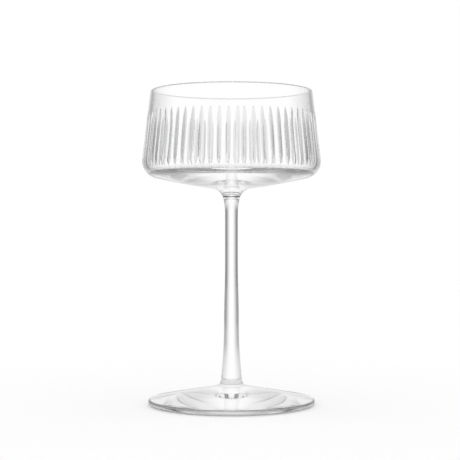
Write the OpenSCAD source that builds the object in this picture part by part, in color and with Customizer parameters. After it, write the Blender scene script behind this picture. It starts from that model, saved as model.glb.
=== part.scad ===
// Cut-glass coupe: a low, wide bowl with upright cuts round its wall, a slim solid stem and a round foot.
// Millimetres, +Z up. The origin is on the table, at the middle of the foot.
// The three pieces are fused end to end at two flat weld planes.

/* [Bowl] */
// Outside diameter at the rim
rim_d = 88; // [80:0.5:94]
// Outside diameter at the widest part, just above the corner
belly_d = 96.8; // [94:0.2:104]
// Height from the stem up to the floor inside
floor_h = 15.3; // [14.5:0.1:18]
// Height from the floor up to the middle of the corner's curve
corner_rise = 5.1; // [3:0.1:5.5]
// Depth of the inside, from the rim down to the floor
bowl_depth = 43.3; // [36:0.1:56]
// Glass thickness at the rim, which is fully rounded
rim_t = 1.6; // [1:0.1:2]
// Glass thickness of the wall where it meets the corner
wall_t = 2.2; // [1.6:0.1:2.8]
// Outside radius of the corner between wall and underside
corner_r = 9; // [8:0.5:11]
// Inside radius at the edge of the floor
floor_edge_r = 1.2; // [0.4:0.1:2]
// Radius of the gently curved underside
underside_r = 410; // [200:10:800]
// Radius of the curve from the stem into the underside
neck_r = 7.3; // [5:0.1:9]

/* [Cuts] */
// Number of upright cuts round the wall
cut_n = 62; // [24:1:72]
// Distance from the rim down to the points of the cuts
cut_start = 11.8; // [6:0.1:18]
// How far the cuts run on round the corner, in degrees
cut_turn = 30.6; // [24:0.1:44]
// Width of a cut at its widest
cut_w = 2.5; // [1:0.1:3]
// Length over which a cut comes to its point
cut_tip = 5; // [2:0.5:10]
// Angle left between the last cut and the first, in degrees
cut_gap = 4.2; // [4:0.1:15]
// Angle of the first cut from straight ahead of the viewer, in degrees
cut_first = 8.2; // [0:0.1:360]

/* [Stem] */
// Length of the stem between its two weld planes
stem_l = 97.7; // [80:0.1:120]
// Diameter where the stem meets the bowl
stem_top_d = 8.8; // [8:0.1:10]
// Diameter of the slim stretch
waist_d = 7; // [6:0.1:7.6]
// Diameter of the fuller stretch below the slim one
lower_d = 8.1; // [7.8:0.1:9]
// Diameter where the stem meets the foot
stem_foot_d = 11.4; // [10:0.1:13]
// Height of the upper flare
top_flare_h = 8.9; // [6:0.1:12]
// Height of the lower flare
foot_flare_h = 31.3; // [24:0.1:36]
// Length over which the fuller stretch narrows to the slim one
taper_l = 33; // [20:0.5:36]

/* [Foot] */
// Diameter of the foot
foot_d = 90.2; // [76:0.2:100]
// Height of the foot's edge
foot_edge_h = 3.2; // [2.6:0.1:4.5]
// Rounding of the foot's edge, above and below
foot_edge_r = 1.1; // [0.4:0.1:1.2]
// Slope of the foot's upper side, in degrees
foot_slope = 10.9; // [7:0.1:13]
// Radius of the curve from the foot's upper side into the stem
root_r = 3.8; // [1.5:0.1:5]
// Width of the flat ring that the glass stands on
rest_w = 4; // [2:0.5:8]
// Height of the hollow under the middle of the foot
hollow_h = 0.3; // [0.2:0.1:2]

/* [Hidden] */
$fn = 180;
arc_steps = 12;
few_steps = 6;
glass = [0.88, 0.9, 0.91, 0.4];

// Foot outline: the edge's two round corners, then the slope up to the curve at the stem
foot_r = foot_d / 2;
stem_foot_r = stem_foot_d / 2;
edge_top = [foot_r - foot_edge_r, foot_edge_h - foot_edge_r];
edge_low = [foot_r - foot_edge_r, foot_edge_r];
slope_start = polar(edge_top, foot_edge_r, 90 - foot_slope);
slope_end_r = stem_foot_r + root_r * (1 - sin(foot_slope));
slope_end_z = slope_start.y + (slope_start.x - slope_end_r) * tan(foot_slope);
root = [stem_foot_r + root_r, slope_end_z + root_r * cos(foot_slope)];
hollow_edge = foot_r - foot_edge_r - rest_w;
hollow_r = arc_radius(hollow_edge, hollow_h);
hollow_end = 90 - asin(hollow_edge / hollow_r);

// Heights of the weld planes and of the rim
stem_z = root.y;
bowl_z = stem_z + stem_l;
rim_z = bowl_z + floor_h + bowl_depth;

// Stem outline: two flares that leave the straight stretches smoothly, and an S-shaped taper
stem_top_r = stem_top_d / 2;
waist_r = waist_d / 2;
lower_r = lower_d / 2;
top_flare_r = arc_radius(top_flare_h, stem_top_r - waist_r);
top_flare = [waist_r + top_flare_r, bowl_z - top_flare_h];
top_lean = asin(top_flare_h / top_flare_r);
foot_flare_r = arc_radius(foot_flare_h, stem_foot_r - lower_r);
foot_flare = [lower_r + foot_flare_r, stem_z + foot_flare_h];
foot_lean = asin(foot_flare_h / foot_flare_r);
taper_r = arc_radius(taper_l / 2, (lower_r - waist_r) / 2);
taper_lean = asin(taper_l / 2 / taper_r);
taper_low = [lower_r - taper_r, foot_flare.y];
taper_top = [waist_r + taper_r, foot_flare.y + taper_l];

// Bowl outline, outside: neck curve, underside, corner, straight wall and round rim
rim = [rim_d / 2 - rim_t / 2, rim_z - rim_t / 2];
corner = [belly_d / 2 - corner_r, bowl_z + floor_h + corner_rise];
neck = [stem_top_r + neck_r * cos(top_lean), bowl_z - neck_r * sin(top_lean)];
underside = circles_meet(neck, underside_r + neck_r, corner, underside_r - corner_r);
underside_in = angle_of(neck - underside);
underside_out = angle_of(corner - underside);
wall_lean = tangent_angle(rim, rim_t / 2, corner, corner_r);

// Bowl outline, inside: straight wall, a corner round the same middle as the outside one, and a flat floor
inner_r = corner_r - wall_t;
inner_lean = tangent_angle(rim, -rim_t / 2, corner, inner_r);
floor_z = bowl_z + floor_h;
edge_rise = floor_edge_r - corner_rise;
floor_edge = corner + [sqrt(pow(inner_r - floor_edge_r, 2) - edge_rise * edge_rise), edge_rise];
floor_lean = angle_of(floor_edge - corner);

// Cuts: V grooves made by a corner of a seven-sided bar, whose sides lean like those of the real cuts.
// The bar goes in at a cut's point, runs along the wall, and leans inwards at the end to follow the corner.
bar_n = 7;
bar_spare = 0.05;
bar_r = (cut_w / 2 + bar_spare) / sin(360 / bar_n);
cut_d = cut_w / 2 * tan(180 / bar_n);
cut_pitch = (360 - cut_gap) / (cut_n - 1);
wall_top = polar(rim, rim_t / 2, wall_lean);
wall_end = polar(corner, corner_r, wall_lean);
cut_point = wall_top + (wall_end - wall_top) * (cut_start - rim_z + wall_top.y) / (wall_top.y - wall_end.y);
cut_run = norm(wall_end - cut_point);
tip_lean = atan(cut_d / cut_tip);
toe_lean = atan((corner_r * (1 - cos(cut_turn)) - cut_d) / (corner_r * sin(cut_turn)));
toe_lap = cut_d;

// The cuts lie in a band from low on the corner to half way between their points and the rim
band_low = -45;
toe_l = corner_r * sin(wall_lean - band_low);
band_top = (cut_point + wall_top) / 2;

// Point at a distance and an angle from another
function polar(c, r, a) = c + r * [cos(a), sin(a)];

// Angle of a direction in the outline's plane
function angle_of(v) = atan2(v.y, v.x);

// Points along an arc, both ends included
function arc(c, r, a0, a1, n = arc_steps) = [for (i = [0:n]) polar(c, r, a0 + (a1 - a0) * i / n)];

// Radius of an arc that starts along a line and has left it by rise after run
function arc_radius(run, rise) = (run * run + rise * rise) / (2 * rise);

// Upper point where two circles meet
function circles_meet(c1, r1, c2, r2) =
    let (d = norm(c2 - c1), u = (c2 - c1) / d, along = (r1 * r1 - r2 * r2 + d * d) / (2 * d))
    c1 + along * u + sqrt(r1 * r1 - along * along) * [-u.y, u.x];

// Direction of the outward normal of a line that touches two circles, a negative radius on its other side
function tangent_angle(c1, r1, c2, r2) = angle_of(c2 - c1) + acos((r1 - r2) / norm(c2 - c1));

// Solid of revolution from an outline that runs upwards, closed level to the axis at both ends
module turned(outline) {
    rotate_extrude()
        polygon(concat([[0, outline[0].y]], outline, [[0, outline[len(outline) - 1].y]]));
}

// Bar that leans about a point on its cutting corner, at a depth z, and reaches up and down from there
module bar(z, lean, up, down) {
    translate([0, 0, z])
        rotate([0, lean, 0])
            translate([-bar_r, 0, -up])
                cylinder(h = up + down, r = bar_r, $fn = bar_n);
}

// Leaf-shaped cut on the side at +X
module wall_cut() {
    translate([cut_point.x, 0, cut_point.y])
        rotate([0, 180 - wall_lean, 0])
            translate([cut_d, 0, 0]) {
                bar(cut_tip, tip_lean, 2 * cut_tip, 0);
                bar(cut_tip, 0, 0, cut_run - cut_tip);
                bar(cut_run, toe_lean, toe_lap, toe_l);
            }
}

module cut_band() {
    difference() {
        turned(concat(arc(corner, corner_r, band_low, wall_lean, few_steps), [band_top]));
        for (i = [0:cut_n - 1])
            rotate([0, 0, cut_first - 90 + i * cut_pitch])
                wall_cut();
    }
}

module hollow() {
    turned(concat(
        arc(floor_edge, floor_edge_r, -90, floor_lean, few_steps),
        arc(corner, inner_r, floor_lean, inner_lean, few_steps),
        arc(rim, rim_t / 2, inner_lean + 180, 180, 1),
        [[rim.x - rim_t / 2, rim_z]]
    ));
}

module bowl() {
    color(glass)
        difference() {
            union() {
                turned(concat(
                    arc(neck, neck_r, 180 - top_lean, underside_in + 180),
                    arc(underside, underside_r, underside_in, underside_out, few_steps),
                    arc(corner, corner_r, underside_out, band_low, few_steps)
                ));
                cut_band();
                turned(concat([band_top], arc(rim, rim_t / 2, wall_lean, 180, few_steps)));
            }
            hollow();
        }
}

module stem() {
    color(glass)
        turned(concat(
            arc(foot_flare, foot_flare_r, 180 + foot_lean, 180),
            arc(taper_low, taper_r, 0, taper_lean, few_steps),
            arc(taper_top, taper_r, 180 + taper_lean, 180, few_steps),
            arc(top_flare, top_flare_r, 180, 180 - top_lean)
        ));
}

module foot() {
    color(glass)
        rotate_extrude()
            polygon(concat(
                arc([0, hollow_h - hollow_r], hollow_r, 90, hollow_end, few_steps),
                arc(edge_low, foot_edge_r, -90, 0, few_steps),
                arc(edge_top, foot_edge_r, 0, 90 - foot_slope, few_steps),
                arc(root, root_r, 270 - foot_slope, 180),
                [[0, stem_z]]
            ));
}

bowl();
stem();
foot();
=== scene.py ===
import math

import bmesh
import bpy
from bpy.props import FloatProperty, FloatVectorProperty, IntProperty, PointerProperty
from mathutils import Matrix, Vector


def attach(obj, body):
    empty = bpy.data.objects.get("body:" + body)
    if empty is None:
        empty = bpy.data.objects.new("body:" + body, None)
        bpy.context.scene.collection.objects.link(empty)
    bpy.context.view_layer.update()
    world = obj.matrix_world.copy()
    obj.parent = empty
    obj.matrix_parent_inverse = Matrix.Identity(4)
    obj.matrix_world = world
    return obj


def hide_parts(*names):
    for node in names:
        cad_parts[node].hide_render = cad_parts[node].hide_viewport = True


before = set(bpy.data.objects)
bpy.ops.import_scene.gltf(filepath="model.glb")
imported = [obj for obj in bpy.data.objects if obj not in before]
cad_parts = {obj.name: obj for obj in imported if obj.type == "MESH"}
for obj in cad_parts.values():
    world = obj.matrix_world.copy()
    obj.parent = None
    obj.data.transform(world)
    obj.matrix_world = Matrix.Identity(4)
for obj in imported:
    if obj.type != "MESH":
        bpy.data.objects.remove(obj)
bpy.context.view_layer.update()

bl_info = {
    "name": "Cut-glass coupe",
    "version": (1, 0, 0),
    "blender": (4, 5, 0),
    "location": "View3D > Sidebar > Coupe",
    "description": "Makes a clear coupe from a cut bowl, a stem and a foot, with a white studio round it",
    "category": "Add Mesh",
}

UP = Vector((0, 0, 1))
GLASS_BOUNCES = 32

# Lengths: where points merge, a support ring's distance from a line's end, and the least line with rings
MERGE = 1e-6
SUPPORT = 0.0003
SUPPORTED_FROM = 4 * SUPPORT

# Mesh of the cuts: columns from a cut's bottom to its edge and across the land, rows up from the corner
CUT_COLUMNS = (0, 0.5, 1)
LAND_COLUMNS = (0.25, 0.6, 1)
CUT_ROWS = (
    0.1, 0.2, 0.3, 0.4, 0.5, 0.58, 0.65, 0.7, 0.74, 0.78, 0.81, 0.84, 0.865, 0.89, 0.91, 0.93, 0.945, 0.96,
    0.972, 0.982, 0.99, 0.996, 1)
SHARP = math.radians(10)
# Point layers: the cuts' run and depth, the rounded edges that get painted shade, and the outer surface
BOWL_LAYERS = ("cut_run", "cut_depth", "rounded_edge_shade", "outside")

# Leaf shape of a cut: where its full width starts and ends, how blunt its ends are, its least half width
LEAF_TOP, LEAF_BOTTOM = 0.3, 0.55
TOP_POWER, BOTTOM_POWER = 0.7, 2.2
MIN_CUT = 2e-5

# Finishes: patterns per metre, and how far they are drawn out along the axis
RIPPLE_SCALE = 90
STEM_DRAWN = 6
STREAK_SCALE = 3000
STREAK_SQUEEZE = 0.1

# Sockets of a Mix node that mixes colours
MIX_SHARE, MIX_FIRST, MIX_SECOND, MIXED = 0, 6, 7, 2

# Camera and floor
VIEW_RANGE = (0.01, 100)
FLOOR_DROP = 0.0001
FLOOR_SIDES = 96
FLOOR_ROUGHNESS = 0.8

# Fades in the studio, as shares of the back panel and the floor, and as angles from the back
BACK_FADE = 0.12
FLOOR_FADE = 0.6
UNDER_FOOT = 0.25
CEILING_BACK = (math.radians(50), math.radians(22))
CEILING_FRONT = (math.radians(80), math.radians(140))


# Settings

def length(name, default, description):
    """A size in metres."""
    return FloatProperty(
        name=name, description=description, default=default, min=0, precision=5, unit="LENGTH")


def angle(name, degrees, description):
    """An angle, stored in radians."""
    return FloatProperty(name=name, description=description, default=math.radians(degrees), subtype="ANGLE")


def share(name, default, description):
    """A plain number from 0 to 1."""
    return FloatProperty(name=name, description=description, default=default, min=0, max=1, subtype="FACTOR")


class BowlSettings(bpy.types.PropertyGroup):
    """Sizes of the bowl"""
    rim_d: length("Rim diameter", 0.088, "Outside diameter at the rim")
    belly_d: length("Belly diameter", 0.0968, "Outside diameter at the widest part, just above the corner")
    floor_h: length("Floor height", 0.0153, "Height from the stem up to the floor inside")
    corner_rise: length("Corner rise", 0.0051, "Height from the floor up to the middle of the corner's curve")
    depth: length("Depth", 0.0433, "Depth of the inside, from the rim down to the floor")
    rim_t: length("Rim thickness", 0.0016, "Glass thickness at the rim, which is fully rounded")
    wall_t: length("Wall thickness", 0.0022, "Glass thickness of the wall where it meets the corner")
    corner_r: length("Corner radius", 0.009, "Outside radius between wall and underside")
    floor_edge_r: length("Floor edge radius", 0.0012, "Inside radius at the edge of the floor")
    underside_r: length("Underside radius", 0.41, "Radius of the gently curved underside")
    neck_r: length("Neck radius", 0.0073, "Radius of the curve from the stem into the underside")


class CutSettings(bpy.types.PropertyGroup):
    """Sizes of the upright cuts in the bowl's wall"""
    count: IntProperty(name="Cuts", description="Number of upright cuts round the wall", default=62, min=3)
    start: length("Start", 0.0118, "Distance from the rim down to the points of the cuts")
    turn: angle("Turn", 30.6, "How far the cuts run on round the corner")
    width: length("Width", 0.0025, "Width of a cut at its widest")
    depth: length("Depth", 0.0006, "Depth of a cut at its widest")
    gap: angle("Closing gap", 4.2, "Angle left between the last cut and the first")
    first: angle("First cut", 8.2, "Angle of the first cut from straight ahead of the viewer")


class StemSettings(bpy.types.PropertyGroup):
    """Sizes of the stem"""
    length: length("Length", 0.0977, "Length between the two welds")
    top_d: length("Top diameter", 0.0088, "Diameter where the stem meets the bowl")
    waist_d: length("Waist diameter", 0.007, "Diameter of the slim stretch")
    lower_d: length("Lower diameter", 0.0081, "Diameter of the fuller stretch below the slim one")
    foot_d: length("Foot diameter", 0.0114, "Diameter where the stem meets the foot")
    top_flare_h: length("Upper flare", 0.0089, "Height of the upper flare")
    foot_flare_h: length("Lower flare", 0.0313, "Height of the lower flare")
    taper_l: length("Taper", 0.033, "Length over which the fuller stretch narrows to the slim one")


class FootSettings(bpy.types.PropertyGroup):
    """Sizes of the foot"""
    foot_d: length("Diameter", 0.0902, "Diameter of the foot")
    edge_h: length("Edge height", 0.0032, "Height of the foot's edge")
    edge_r: length("Edge rounding", 0.0011, "Rounding of the foot's edge, above and below")
    slope: angle("Slope", 10.9, "Slope of the foot's upper side")
    root_r: length("Root radius", 0.0038, "Radius of the curve from the foot's upper side into the stem")
    rest_w: length("Resting ring", 0.004, "Width of the flat ring that the glass stands on")
    hollow_h: length("Hollow", 0.0003, "Height of the hollow under the middle of the foot")


class GlassSettings(bpy.types.PropertyGroup):
    """Colours, painted edge shade and finish of the glass"""
    colour: FloatVectorProperty(
        name="Colour", description="Colour of the clear glass", default=(0.997, 0.998, 0.998), min=0, max=1,
        subtype="COLOR")
    # Painted shade: a dark colour that darkens the outline where the glass is seen along its surface
    edge_shade_colour: FloatVectorProperty(
        name="Edge colour", description="Colour of the glass where it is looked at along its surface",
        default=(0.25, 0.255, 0.255), min=0, max=1, subtype="COLOR")
    edge_start: share("Edge start", 0.7, "How far the surface turns away before the edge colour begins")
    edge_blur: share("Edge blur", 0.5, "Roughness where the glass is looked at along its surface")
    blur_start: share("Blur start", 0.92, "How far the surface turns away before the edge blur begins")
    # Painted shade: shares of the dark edge colour on the rounded rim, the bowl's floor edge and the foot's
    # rounded edge
    rounded_edge_shade_share: share("Lip tint", 0.45, "Share of the edge colour in the rounded rim and the bowl's floor edge")
    foot_edge_shade_share: share("Foot tint", 0.9, "Share of the edge colour in the foot's rounded edge")
    ior: FloatProperty(name="Index", description="Refractive index of the glass", default=1.52, min=1)
    ripple: length("Ripple", 0.00001, "Height of the slow ripple in the fire-polished surface")
    cut_polish: share("Cut polish", 0.45, "Roughness left in the cuts by the wheel")


class StageSettings(bpy.types.PropertyGroup):
    """Camera, floor and studio"""
    distance: length("Camera distance", 0.66, "Distance of the camera from the stem's axis")
    height: length("Camera height", 0.0925, "Height of the camera above the table")
    lens: FloatProperty(name="Lens", description="Focal length in millimetres", default=95.1, min=1)
    shift_x: FloatProperty(name="Shift X", description="Sideways shift of the frame", default=-0.0032)
    shift_y: FloatProperty(name="Shift Y", description="Upward shift of the frame", default=0.0085)
    floor_r: length("Floor radius", 1.5, "Radius of the round floor")
    floor_colour: FloatVectorProperty(
        name="Floor", description="Colour of the pale floor", default=(0.8, 0.8, 0.8), min=0, max=1,
        subtype="COLOR")
    soft_level: share("Soft light", 0.75, "Brightness of the light that falls on the floor from all round")
    floor_level: share("Near floor level", 0.74, "Brightness of the floor near the glass, seen in the glass")
    floor_side: share("Floor sides", 0.42, "Brightness of the floor beyond that, towards the sides")
    side_level: share("Sides", 0.2, "Brightness of the studio's dark sides, seen in the glass")
    upper_level: share("Upper sides", 0.64, "Brightness of the sides above that, up to the ceiling")
    ceiling_level: share("Ceiling", 0.03, "Brightness of the ceiling over the sides, seen in the glass")
    front_ceiling: share("Front ceiling", 0.3, "Brightness of the ceiling in front of the glass")
    back_end: angle("Back panel", 40, "Angle from the back at which the white panel there has faded out")
    front_start: angle("Front start", 60, "Angle from the back at which the dark sides begin to fade")
    front_end: angle("Front end", 92, "Angle from the back at which only the white front is left")
    upper_start: angle("Upper start", 5, "Elevation at which the upper sides begin")
    upper_end: angle("Upper end", 13, "Elevation at which only the upper sides are left")
    ceiling_start: angle("Ceiling start", 24, "Elevation at which the sides begin to give way to the ceiling")
    ceiling_end: angle("Ceiling end", 38, "Elevation at which only the ceiling is left")
    near_floor: length("Near floor", 0.07, "Radius of the floor round the foot that is as pale all round")
    far_floor: length("Far floor", 0.26, "Radius at which the floor has its sides' brightness")


class CoupeSettings(bpy.types.PropertyGroup):
    """All settings of the coupe and its stage"""
    bowl: PointerProperty(type=BowlSettings)
    cuts: PointerProperty(type=CutSettings)
    stem: PointerProperty(type=StemSettings)
    foot: PointerProperty(type=FootSettings)
    glass: PointerProperty(type=GlassSettings)
    stage: PointerProperty(type=StageSettings)


# Outline geometry, in the plane of the axis: x is the radius and z the height

def point(r, z):
    """Point at a radius and a height."""
    return Vector((r, 0, z))


def polar(centre, radius, turn):
    """Point at a distance and an angle from another."""
    return centre + radius * Vector((math.cos(turn), 0, math.sin(turn)))


def angle_of(way):
    """Angle of a direction."""
    return math.atan2(way.z, way.x)


def arc_radius(run, rise):
    """Radius of an arc that starts along a line and has left it by rise after run."""
    return (run * run + rise * rise) / (2 * rise)


def circles_meet(c1, r1, c2, r2):
    """Upper point where two circles meet."""
    gap = (c2 - c1).length
    u = (c2 - c1) / gap
    along = (r1 * r1 - r2 * r2 + gap * gap) / (2 * gap)
    return c1 + along * u + math.sqrt(r1 * r1 - along * along) * Vector((-u.z, 0, u.x))


def tangent_angle(c1, r1, c2, r2):
    """Outward normal of a line that touches two circles, a negative radius on its other side."""
    return angle_of(c2 - c1) + math.acos((r1 - r2) / (c2 - c1).length)


class Outline:
    """A wire in the plane of the axis, drawn from its tip with lines and arcs."""

    def __init__(self, bm, start):
        self.bm = bm
        self.tip = bm.verts.new(start)
        self.verts = [self.tip]

    def line(self, end, steps=1):
        """A straight line in equal steps."""
        stride = (end - self.tip.co) / steps
        for _ in range(steps):
            self.tip = bmesh.ops.extrude_vert_indiv(self.bm, verts=[self.tip])["verts"][0]
            self.tip.co += stride
            self.verts.append(self.tip)

    def reach(self, end):
        """A line with a ring close to each end, so that curves beside it keep their shading to themselves."""
        way = end - self.tip.co
        if way.length < MERGE:
            return
        if way.length > SUPPORTED_FROM:
            self.line(self.tip.co + SUPPORT * way.normalized())
            self.line(end - SUPPORT * way.normalized())
        self.line(end)

    def arc(self, centre, radius, start, end, steps):
        """Goes to a centre's first angle and round it to the second. Gives the points inside the arc."""
        self.reach(polar(centre, radius, start))
        for _ in range(steps):
            spun = bmesh.ops.spin(
                self.bm, geom=[self.tip], cent=centre, axis=(0, -1, 0), angle=(end - start) / steps, steps=1)
            self.tip = next(v for v in spun["geom_last"] if isinstance(v, bmesh.types.BMVert))
            self.verts.append(self.tip)
        return self.verts[-steps:-1]


# Heights and curves that more than one piece needs

def foot_root(foot, stem):
    """Centre of the curve at the stem's root. Its height is the lower weld's."""
    edge = point(foot.foot_d / 2 - foot.edge_r, foot.edge_h - foot.edge_r)
    start = polar(edge, foot.edge_r, math.pi / 2 - foot.slope)
    end_r = stem.foot_d / 2 + foot.root_r * (1 - math.sin(foot.slope))
    end_z = start.z + (start.x - end_r) * math.tan(foot.slope)
    return point(stem.foot_d / 2 + foot.root_r, end_z + foot.root_r * math.cos(foot.slope))


def bowl_foot(coupe):
    """Height of the upper weld."""
    return foot_root(coupe.foot, coupe.stem).z + coupe.stem.length


def top_flare(stem):
    """Radius of the stem's upper flare, and its lean at the weld."""
    radius = arc_radius(stem.top_flare_h, (stem.top_d - stem.waist_d) / 2)
    return radius, math.asin(stem.top_flare_h / radius)


# Meshes

def finish_piece(bm, name, welds, materials):
    """Closes the turned mesh, gives the weld faces their material and adds the piece to the scene."""
    bmesh.ops.remove_doubles(bm, verts=bm.verts[:], dist=MERGE)
    bmesh.ops.recalc_face_normals(bm, faces=bm.faces[:])
    cut = bm.verts.layers.float.get("cut_run")
    for edge in bm.edges:
        if cut and all(v[cut] for v in edge.verts):
            edge.smooth = edge.calc_face_angle() < SHARP
    for face in bm.faces:
        face.smooth = True
        if any(all(abs(v.co.z - z) < MERGE for v in face.verts) for z in welds):
            face.material_index = 1
    for edge in bm.edges:
        if len({face.material_index for face in edge.link_faces}) > 1:
            edge.smooth = False
    mesh = bpy.data.meshes.new(name)
    bm.to_mesh(mesh)
    bm.free()
    for material in materials:
        mesh.materials.append(material)
    piece = bpy.data.objects.new(name, mesh)
    bpy.context.scene.collection.objects.link(piece)
    return piece


def seat(piece, node):
    """Puts a piece in the place of its solid."""
    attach(piece, "root")
    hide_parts(node)


def turned(bm, steps):
    """Spins the outline into a closed body."""
    bmesh.ops.spin(
        bm, geom=bm.verts[:] + bm.edges[:], cent=(0, 0, 0), axis=UP, angle=math.tau, steps=steps,
        use_merge=True)


class BowlShape:
    """The bowl's curves, worked out from its sizes."""

    def __init__(self, coupe):
        bowl = coupe.bowl
        self.bowl = bowl
        self.foot_z = bowl_foot(coupe)
        self.rim_z = self.foot_z + bowl.floor_h + bowl.depth
        self.top_r = coupe.stem.top_d / 2
        self.top_lean = top_flare(coupe.stem)[1]
        half_rim = bowl.rim_t / 2
        self.rim = point(bowl.rim_d / 2 - half_rim, self.rim_z - half_rim)
        self.floor_z = self.foot_z + bowl.floor_h
        self.corner = point(bowl.belly_d / 2 - bowl.corner_r, self.floor_z + bowl.corner_rise)
        self.neck = polar(point(self.top_r, self.foot_z), bowl.neck_r, -self.top_lean)
        self.underside = circles_meet(
            self.neck, bowl.underside_r + bowl.neck_r, self.corner, bowl.underside_r - bowl.corner_r)
        self.underside_in = angle_of(self.neck - self.underside)
        self.underside_out = angle_of(self.corner - self.underside)
        self.wall_lean = tangent_angle(self.rim, half_rim, self.corner, bowl.corner_r)
        self.inner_r = bowl.corner_r - bowl.wall_t
        self.inner_lean = tangent_angle(self.rim, -half_rim, self.corner, self.inner_r)
        edge_rise = bowl.floor_edge_r - bowl.corner_rise
        self.floor_edge = self.corner + point(
            math.sqrt((self.inner_r - bowl.floor_edge_r) ** 2 - edge_rise ** 2), edge_rise)
        self.wall_end = polar(self.corner, bowl.corner_r, self.wall_lean)
        wall_top = polar(self.rim, half_rim, self.wall_lean)
        self.cuts = coupe.cuts
        fall = (self.cuts.start - self.rim_z + wall_top.z) / (wall_top.z - self.wall_end.z)
        self.cut_point = wall_top.lerp(self.wall_end, fall)
        self.cut_length = (self.cut_point - self.wall_end).length + bowl.corner_r * self.cuts.turn
        self.half_pitch = (math.tau - self.cuts.gap) / (self.cuts.count - 1) / 2

    def draw(self, bm, layers):
        """Draws the outline. The stretch that the cuts lie in gets its distance down from their points."""
        bowl = self.bowl
        wire = Outline(bm, point(0, self.foot_z))
        wire.arc(self.neck, bowl.neck_r, math.pi - self.top_lean, self.underside_in + math.pi, steps=10)
        wire.arc(self.underside, bowl.underside_r, self.underside_in, self.underside_out, steps=4)
        wire.arc(self.corner, bowl.corner_r, self.underside_out, self.wall_lean, steps=26)
        for row in CUT_ROWS:
            wire.line(self.wall_end.lerp(self.cut_point, row))
        outside = wire.verts[:]
        rounded_edge_shade = wire.arc(self.rim, bowl.rim_t / 2, self.wall_lean, self.inner_lean + math.pi, steps=10)
        floor_lean = angle_of(self.floor_edge - self.corner)
        wire.arc(self.corner, self.inner_r, self.inner_lean, floor_lean, steps=10)
        rounded_edge_shade += wire.arc(self.floor_edge, bowl.floor_edge_r, floor_lean, -math.pi / 2, steps=6)
        wire.reach(point(0, self.floor_z))
        # The rounded rim and the floor's edge are marked for painted shade
        for vert in rounded_edge_shade:
            vert[layers["rounded_edge_shade"]] = 1
        for vert in outside:
            vert[layers["outside"]] = 1
        run, above = MERGE, outside[-1]
        for vert in reversed(outside):
            run += (vert.co - above.co).length
            if run > self.cut_length:
                break
            vert[layers["cut_run"]] = run
            above = vert

    def half_width(self, run):
        """Half the width of a cut at a distance down from its point: a leaf that is full in its middle."""
        way = run / self.cut_length
        if way < LEAF_TOP:
            full = (1 - (1 - way / LEAF_TOP) ** 2) ** TOP_POWER
        elif way > LEAF_BOTTOM:
            full = math.sqrt(max(1 - ((way - LEAF_BOTTOM) / (1 - LEAF_BOTTOM)) ** BOTTOM_POWER, 0))
        else:
            full = 1
        return full * self.cuts.width / 2

    def strip(self, bm, layers, left, right):
        """One cut with the wall on both sides of it, at +X, from the outline that is in the mesh."""
        side = len(CUT_COLUMNS) + len(LAND_COLUMNS) - 1
        bmesh.ops.rotate(bm, verts=bm.verts[:], cent=(0, 0, 0), matrix=rotation(-left))
        bmesh.ops.spin(
            bm, geom=bm.verts[:] + bm.edges[:], cent=(0, 0, 0), axis=UP, angle=left + right, steps=2 * side)
        slope = self.cuts.depth / (self.cuts.width / 2)
        for vert in bm.verts:
            run = vert[layers["cut_run"]]
            if not run:
                continue
            at = point(math.hypot(vert.co.x, vert.co.y), vert.co.z)
            column = round((math.atan2(vert.co.y, vert.co.x) + left) / (left + right) * 2 * side) - side
            half = left if column < 0 else right
            width = max(self.half_width(run), MIN_CUT)
            depth = 0
            if abs(column) < len(CUT_COLUMNS):
                x = width * CUT_COLUMNS[abs(column)]
                turn = x / at.x
                depth = slope * (width - x)
            else:
                turn = width / at.x + (half - width / at.x) * LAND_COLUMNS[abs(column) - len(CUT_COLUMNS)]
            outward = (at - self.corner).normalized()
            if at.z > self.wall_end.z:
                outward = polar(Vector(), 1, self.wall_lean)
            moved = at - depth * outward
            turn = math.copysign(turn, column)
            vert[layers["cut_depth"]] = depth / self.cuts.depth
            vert.co = (moved.x * math.cos(turn), moved.x * math.sin(turn), moved.z)


def rotation(turn):
    """Turn about the axis."""
    return Matrix.Rotation(turn, 3, "Z")


def make_bowl(coupe):
    """The bowl, from the strips of the first cut, of the evenly spaced ones and of the last one."""
    shape = BowlShape(coupe)
    cuts = coupe.cuts
    half = shape.half_pitch
    whole = bmesh.new()
    for name in BOWL_LAYERS:
        whole.verts.layers.float.new(name)
    first = cuts.first - math.pi / 2
    runs = (
        (cuts.gap / 2, half, 0, 1),
        (half, half, 1, cuts.count - 2),
        (half, cuts.gap / 2, cuts.count - 1, 1))
    for left, right, index, copies in runs:
        bm = bmesh.new()
        layers = {name: bm.verts.layers.float.new(name) for name in BOWL_LAYERS}
        shape.draw(bm, layers)
        shape.strip(bm, layers, left, right)
        bmesh.ops.rotate(bm, verts=bm.verts[:], cent=(0, 0, 0), matrix=rotation(first + 2 * half * index))
        if copies > 1:
            bmesh.ops.spin(
                bm, geom=bm.verts[:] + bm.edges[:] + bm.faces[:], cent=(0, 0, 0), axis=UP,
                angle=2 * half * (copies - 1), steps=copies - 1, use_duplicate=True)
        part = bpy.data.meshes.new("strip")
        bm.to_mesh(part)
        bm.free()
        whole.from_mesh(part)
        bpy.data.meshes.remove(part)
    glass = glass_material("bowl glass", coupe, rounded_edge_shade_share=coupe.glass.rounded_edge_shade_share, cut=True)
    piece = finish_piece(whole, "cut_bowl", [shape.foot_z], [glass, weld_material()])
    seat(piece, "bowl")


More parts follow.
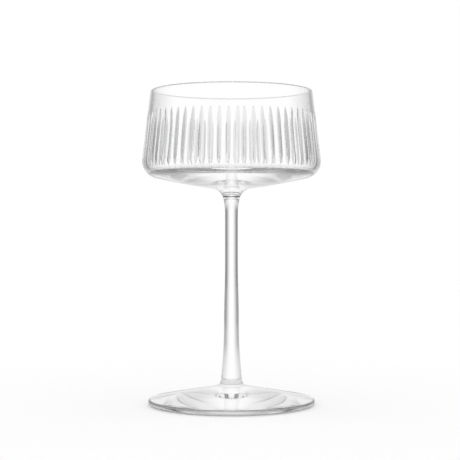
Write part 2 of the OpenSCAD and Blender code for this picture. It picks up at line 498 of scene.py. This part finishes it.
def make_stem(coupe):
    """The stem, with a flare at each end and a taper between its two stretches."""
    stem = coupe.stem
    low = foot_root(coupe.foot, stem).z
    high = low + stem.length
    foot_flare_r = arc_radius(stem.foot_flare_h, (stem.foot_d - stem.lower_d) / 2)
    foot_lean = math.asin(stem.foot_flare_h / foot_flare_r)
    top_flare_r, top_lean = top_flare(stem)
    taper_r = arc_radius(stem.taper_l / 2, (stem.lower_d - stem.waist_d) / 4)
    taper_lean = math.asin(stem.taper_l / 2 / taper_r)
    foot_flare_z = low + stem.foot_flare_h
    foot_flare = point(stem.lower_d / 2 + foot_flare_r, foot_flare_z)
    taper_low = point(stem.lower_d / 2 - taper_r, foot_flare_z)
    taper_top = point(stem.waist_d / 2 + taper_r, foot_flare_z + stem.taper_l)
    flare_top = point(stem.waist_d / 2 + top_flare_r, high - stem.top_flare_h)
    bm = bmesh.new()
    wire = Outline(bm, point(0, low))
    wire.arc(foot_flare, foot_flare_r, math.pi + foot_lean, math.pi, steps=24)
    wire.arc(taper_low, taper_r, 0, taper_lean, steps=12)
    wire.arc(taper_top, taper_r, math.pi + taper_lean, math.pi, steps=12)
    wire.arc(flare_top, top_flare_r, math.pi, math.pi - top_lean, steps=16)
    wire.reach(point(0, high))
    turned(bm, steps=160)
    glass = glass_material("stem glass", coupe, drawn=STEM_DRAWN)
    piece = finish_piece(bm, "drawn_stem", [low, high], [glass, weld_material()])
    seat(piece, "stem")


def make_foot(coupe):
    """The foot, from the hollow underneath, round its edge and up to the stem."""
    foot, stem = coupe.foot, coupe.stem
    root = foot_root(foot, stem)
    edge_x = foot.foot_d / 2 - foot.edge_r
    hollow_edge = edge_x - foot.rest_w
    hollow_r = arc_radius(hollow_edge, foot.hollow_h)
    quarter = math.pi / 2
    hollow_end = quarter - math.asin(hollow_edge / hollow_r)
    bm = bmesh.new()
    rounded_edge_shade_layer = bm.verts.layers.float.new("rounded_edge_shade")
    wire = Outline(bm, point(0, foot.hollow_h))
    wire.arc(point(0, foot.hollow_h - hollow_r), hollow_r, quarter, hollow_end, steps=16)
    rounded_edge_shade = wire.arc(point(edge_x, foot.edge_r), foot.edge_r, -quarter, 0, steps=10)
    rounded_edge_shade += wire.arc(point(edge_x, foot.edge_h - foot.edge_r), foot.edge_r, 0, quarter - foot.slope, steps=10)
    wire.arc(root, foot.root_r, 3 * quarter - foot.slope, math.pi, steps=18)
    wire.reach(point(0, root.z))
    # The foot's rounded edge is marked for painted shade
    for vert in rounded_edge_shade:
        vert[rounded_edge_shade_layer] = 1
    turned(bm, steps=360)
    glass = glass_material("foot glass", coupe, rounded_edge_shade_share=coupe.glass.foot_edge_shade_share)
    piece = finish_piece(bm, "round_foot", [root.z], [glass, weld_material()])
    seat(piece, "foot")


# Materials

def new_material(name):
    """A new material and its shader, or the one that is there already and None."""
    material = bpy.data.materials.get(name)
    if material:
        return material, None
    material = bpy.data.materials.new(name)
    material.use_nodes = True
    return material, material.node_tree.nodes["Principled BSDF"]


class Nodes:
    """Short calls for adding and linking the nodes of a tree."""

    def __init__(self, tree):
        self.tree = tree

    def add(self, kind, inputs=(), **settings):
        """Adds a node. Inputs are links or plain values, by name or number."""
        node = self.tree.nodes.new(kind)
        for name, value in settings.items():
            setattr(node, name, value)
        for key, value in dict(inputs).items():
            self.put(node.inputs[key], value)
        return node

    def put(self, socket, value):
        """Links a socket or sets its plain value."""
        if isinstance(value, bpy.types.NodeSocket):
            self.tree.links.new(value, socket)
        else:
            socket.default_value = value

    def group(self, tree, inputs):
        """Places a node group and gives its outputs."""
        node = self.add("ShaderNodeGroup", node_tree=tree)
        for name, value in inputs.items():
            self.put(node.inputs[name], value)
        return node.outputs

    def attribute(self, name):
        """A value stored on the piece's points."""
        return self.add("ShaderNodeAttribute", attribute_name=name).outputs["Fac"]

    def math(self, operation, *values):
        """Works out one value from others."""
        return self.add("ShaderNodeMath", enumerate(values), operation=operation).outputs[0]

    def smooth(self, value, low, high):
        """Rises smoothly from 0 to 1 between two values."""
        inputs = {"Value": value, "From Min": low, "From Max": high}
        return self.add("ShaderNodeMapRange", inputs, interpolation_type="SMOOTHSTEP").outputs["Result"]

    def mix(self, share, low, high):
        """Mixes two values."""
        inputs = {"Factor": share, "A": low, "B": high}
        return self.add("ShaderNodeMix", inputs, data_type="FLOAT").outputs["Result"]

    def blend(self, share, first, second):
        """Mixes two colours."""
        inputs = {MIX_SHARE: share, MIX_FIRST: first, MIX_SECOND: second}
        return self.add("ShaderNodeMix", inputs, data_type="RGBA").outputs[MIXED]


def new_group(name, inputs, outputs):
    """A new node group with its sockets, given as names and kinds. None if it is there already."""
    if bpy.data.node_groups.get(name):
        return None
    group = bpy.data.node_groups.new(name, "ShaderNodeTree")
    for way, sockets in (("INPUT", inputs), ("OUTPUT", outputs)):
        for socket, kind in sockets.items():
            group.interface.new_socket(socket, in_out=way, socket_type="NodeSocket" + kind)
    return group


def ripple_group():
    """Node group: the slow ripple of fire-polished glass, longer along the axis the more it is drawn out."""
    group = new_group("glass ripple", {"Place": "Vector", "Drawn": "Float"}, {"Height": "Float"})
    if group:
        nodes = Nodes(group)
        given = nodes.add("NodeGroupInput").outputs
        split = nodes.add("ShaderNodeSeparateXYZ", {"Vector": given["Place"]}).outputs
        z = nodes.math("DIVIDE", split["Z"], given["Drawn"])
        place = nodes.add("ShaderNodeCombineXYZ", {"X": split["X"], "Y": split["Y"], "Z": z})
        noise = nodes.add("ShaderNodeTexNoise", {
            "Vector": place.outputs["Vector"], "Scale": RIPPLE_SCALE, "Detail": 1, "Roughness": 0.3})
        nodes.add("NodeGroupOutput", {"Height": noise.outputs["Fac"]})
    return bpy.data.node_groups["glass ripple"]


def wheel_group():
    """Node group: roughness of wheel-cut facets, strongest in the middle of a cut and streaked along it."""
    group = new_group(
        "wheel polish", {"Place": "Vector", "Depth": "Float", "Most": "Float"}, {"Roughness": "Float"})
    if group:
        nodes = Nodes(group)
        given = nodes.add("NodeGroupInput").outputs
        drawn = nodes.add("ShaderNodeMapping", {"Vector": given["Place"], "Scale": (1, 1, STREAK_SQUEEZE)})
        streaks = nodes.add("ShaderNodeTexNoise", {
            "Vector": drawn.outputs["Vector"], "Scale": STREAK_SCALE, "Detail": 2}).outputs["Fac"]
        level = nodes.math("MULTIPLY", nodes.math("MULTIPLY", given["Depth"], streaks), given["Most"])
        nodes.add("NodeGroupOutput", {"Roughness": level})
    return bpy.data.node_groups["wheel polish"]


def glass_material(name, coupe, rounded_edge_shade_share=0, drawn=1, cut=False):
    """Clear glass with painted shade where seen along its surface and on rounded edges, a slow ripple and
    polished cuts.
    """
    material, shader = new_material(name)
    if not shader:
        return material
    glass = coupe.glass
    nodes = Nodes(material.node_tree)
    place = nodes.add("ShaderNodeTexCoord").outputs["Object"]
    facing = nodes.add("ShaderNodeLayerWeight", {"Blend": 0.5}).outputs["Facing"]
    entering = nodes.math("SUBTRACT", 1, nodes.add("ShaderNodeNewGeometry").outputs["Backfacing"])
    # Painted shade: the edge colour goes into the base colour where the front of the surface turns away from
    # the view
    dark = nodes.math("MULTIPLY", nodes.smooth(facing, glass.edge_start, 1), entering)
    # Painted shade on the marked rounded edges
    if rounded_edge_shade_share:
        dark = nodes.math("MAXIMUM", dark, nodes.math("MULTIPLY", nodes.attribute("rounded_edge_shade"), rounded_edge_shade_share))
    outline = nodes.math("MULTIPLY", nodes.smooth(facing, glass.blur_start, 1), entering)
    rough = nodes.math("MULTIPLY", outline, glass.edge_blur)
    if cut:
        inputs = {"Place": place, "Depth": nodes.attribute("cut_depth"), "Most": glass.cut_polish}
        polish = nodes.group(wheel_group(), inputs)["Roughness"]
        rough = nodes.math("MAXIMUM", nodes.math("MULTIPLY", rough, nodes.attribute("outside")), polish)
    height = nodes.group(ripple_group(), {"Place": place, "Drawn": drawn})["Height"]
    bump = nodes.add("ShaderNodeBump", {"Height": height, "Distance": glass.ripple})
    # Base colour: the clear glass with the painted edge shade mixed in
    nodes.put(shader.inputs["Base Color"], nodes.blend(dark, (*glass.colour, 1), (*glass.edge_shade_colour, 1)))
    nodes.put(shader.inputs["Roughness"], rough)
    nodes.put(shader.inputs["Normal"], bump.outputs["Normal"])
    shader.inputs["IOR"].default_value = glass.ior
    shader.inputs["Transmission Weight"].default_value = 1
    return material


def weld_material():
    """The fused face between two pieces, where light goes straight on."""
    material, shader = new_material("fused weld")
    if shader:
        shader.inputs["Alpha"].default_value = 0
    return material


# Stage

def make_camera(stage):
    """A level camera in front of the glass, framed by its shift."""
    data = bpy.data.cameras.new("photo_camera")
    data.lens = stage.lens
    data.shift_x, data.shift_y = stage.shift_x, stage.shift_y
    data.clip_start, data.clip_end = VIEW_RANGE
    camera = bpy.data.objects.new("photo_camera", data)
    camera.location = (0, -stage.distance, stage.height)
    camera.rotation_euler = (math.pi / 2, 0, 0)
    bpy.context.scene.collection.objects.link(camera)
    bpy.context.scene.camera = camera


def studio_group():
    """Node group: the angle of a direction from the studio's back, and how white the studio is there."""
    group = new_group(
        "studio", {"Direction": "Vector", "Back End": "Float", "Front Start": "Float", "Front End": "Float"},
        {"Turn": "Float", "White": "Float"})
    if group:
        nodes = Nodes(group)
        given = nodes.add("NodeGroupInput").outputs
        split = nodes.add("ShaderNodeSeparateXYZ", {"Vector": given["Direction"]}).outputs
        turn = nodes.math("ABSOLUTE", nodes.math("ARCTAN2", split["X"], split["Y"]))
        back = nodes.smooth(turn, given["Back End"], nodes.math("MULTIPLY", given["Back End"], BACK_FADE))
        front = nodes.smooth(turn, given["Front Start"], given["Front End"])
        nodes.add("NodeGroupOutput", {"Turn": turn, "White": nodes.math("MAXIMUM", back, front)})
    return bpy.data.node_groups["studio"]


def studio(nodes, stage, direction):
    """Places the studio group with the stage's angles."""
    return nodes.group(studio_group(), {
        "Direction": direction, "Back End": stage.back_end, "Front Start": stage.front_start,
        "Front End": stage.front_end})


def make_floor(stage):
    """A round floor: plain and pale for the camera, as bright as the studio where the glass shows it."""
    bm = bmesh.new()
    bmesh.ops.create_circle(bm, cap_ends=True, radius=stage.floor_r, segments=FLOOR_SIDES)
    bmesh.ops.translate(bm, verts=bm.verts[:], vec=-FLOOR_DROP * UP)
    mesh = bpy.data.meshes.new("floor")
    bm.to_mesh(mesh)
    bm.free()
    material, shader = new_material("pale floor")
    shader.inputs["Roughness"].default_value = FLOOR_ROUGHNESS
    shader.inputs["Specular IOR Level"].default_value = 0
    shader.inputs["Emission Strength"].default_value = 1
    nodes = Nodes(material.node_tree)
    place = nodes.add("ShaderNodeTexCoord").outputs["Object"]
    away = nodes.add("ShaderNodeVectorMath", {0: place}, operation="LENGTH").outputs["Value"]
    far = nodes.smooth(away, stage.near_floor, stage.far_floor)
    farthest = nodes.smooth(away, stage.far_floor, FLOOR_FADE * stage.floor_r)
    sides = nodes.mix(farthest, nodes.mix(far, stage.floor_level, stage.floor_side), stage.side_level)
    clear = nodes.smooth(away, UNDER_FOOT * stage.near_floor, stage.near_floor)
    white = nodes.math("MULTIPLY", studio(nodes, stage, place)["White"], clear)
    path = nodes.add("ShaderNodeLightPath").outputs
    seen = nodes.math("MAXIMUM", path["Is Transmission Ray"], path["Is Glossy Ray"])
    in_glass = nodes.math("MULTIPLY", seen, nodes.mix(white, sides, 1))
    plain = stage.floor_colour[0] * stage.soft_level
    nodes.put(shader.inputs["Base Color"], nodes.blend(seen, (*stage.floor_colour, 1), (0, 0, 0, 1)))
    nodes.put(shader.inputs["Emission Color"], nodes.mix(path["Is Camera Ray"], in_glass, 1 - plain))
    mesh.materials.append(material)
    floor = bpy.data.objects.new("floor", mesh)
    bpy.context.scene.collection.objects.link(floor)


def make_world(stage):
    """White for the camera. The glass sees a white back and front, dark sides and a dark ceiling there."""
    world = bpy.data.worlds.new("white studio")
    world.use_nodes = True
    bpy.context.scene.world = world
    nodes = Nodes(world.node_tree)
    way = nodes.add("ShaderNodeTexCoord").outputs["Generated"]
    light = studio(nodes, stage, way)
    height = nodes.add("ShaderNodeSeparateXYZ", {"Vector": way}).outputs["Z"]
    upper = nodes.smooth(height, math.sin(stage.upper_start), math.sin(stage.upper_end))
    high = nodes.smooth(height, math.sin(stage.ceiling_start), math.sin(stage.ceiling_end))
    sides = nodes.mix(light["White"], nodes.mix(upper, stage.side_level, stage.upper_level), 1)
    over_back = nodes.smooth(light["Turn"], *CEILING_BACK)
    over_front = nodes.smooth(light["Turn"], *CEILING_FRONT)
    ceiling = nodes.mix(over_back, nodes.mix(over_front, stage.ceiling_level, stage.front_ceiling), 1)
    room = nodes.mix(high, sides, ceiling)
    path = nodes.add("ShaderNodeLightPath").outputs
    seen = nodes.math("MAXIMUM", path["Is Transmission Ray"], path["Is Glossy Ray"])
    level = nodes.mix(path["Is Camera Ray"], nodes.mix(seen, stage.soft_level, room), 1)
    nodes.put(world.node_tree.nodes["Background"].inputs["Color"], level)


# Operators, panel and registration

class COUPE_OT_bowl(bpy.types.Operator):
    """Makes the bowl with its cuts"""
    bl_idname = "coupe.bowl"
    bl_label = "Bowl"

    def execute(self, context):
        make_bowl(context.scene.coupe)
        return {"FINISHED"}


class COUPE_OT_stem(bpy.types.Operator):
    """Makes the stem"""
    bl_idname = "coupe.stem"
    bl_label = "Stem"

    def execute(self, context):
        make_stem(context.scene.coupe)
        return {"FINISHED"}


class COUPE_OT_foot(bpy.types.Operator):
    """Makes the foot"""
    bl_idname = "coupe.foot"
    bl_label = "Foot"

    def execute(self, context):
        make_foot(context.scene.coupe)
        return {"FINISHED"}


class COUPE_OT_stage(bpy.types.Operator):
    """Makes the floor, the studio and the camera"""
    bl_idname = "coupe.stage"
    bl_label = "Stage"

    def execute(self, context):
        stage = context.scene.coupe.stage
        make_camera(stage)
        make_floor(stage)
        make_world(stage)
        context.scene.view_settings.view_transform = "Standard"
        for kind in ("max_bounces", "glossy_bounces", "transmission_bounces"):
            setattr(context.scene.cycles, kind, GLASS_BOUNCES)
        return {"FINISHED"}


class COUPE_PT_panel(bpy.types.Panel):
    """Sizes of the coupe and the buttons that make it"""
    bl_idname = "COUPE_PT_panel"
    bl_label = "Coupe"
    bl_space_type = "VIEW_3D"
    bl_region_type = "UI"
    bl_category = "Coupe"

    def draw(self, context):
        coupe = context.scene.coupe
        for group in ("bowl", "cuts", "stem", "foot", "glass", "stage"):
            box = self.layout.box()
            box.label(text=group.capitalize())
            settings = getattr(coupe, group)
            for name in settings.__annotations__:
                box.prop(settings, name)
        for operator in OPERATORS:
            self.layout.operator(operator.bl_idname)


OPERATORS = (COUPE_OT_bowl, COUPE_OT_stem, COUPE_OT_foot, COUPE_OT_stage)
CLASSES = (
    BowlSettings, CutSettings, StemSettings, FootSettings, GlassSettings, StageSettings, CoupeSettings,
    *OPERATORS, COUPE_PT_panel)


def register():
    for cls in CLASSES:
        bpy.utils.register_class(cls)
    bpy.types.Scene.coupe = PointerProperty(type=CoupeSettings)


def unregister():
    del bpy.types.Scene.coupe
    for cls in reversed(CLASSES):
        bpy.utils.unregister_class(cls)


def main():
    """Makes the coupe and its stage."""
    register()
    bpy.ops.coupe.bowl()
    bpy.ops.coupe.stem()
    bpy.ops.coupe.foot()
    bpy.ops.coupe.stage()


if __name__ == "__main__":
    main()
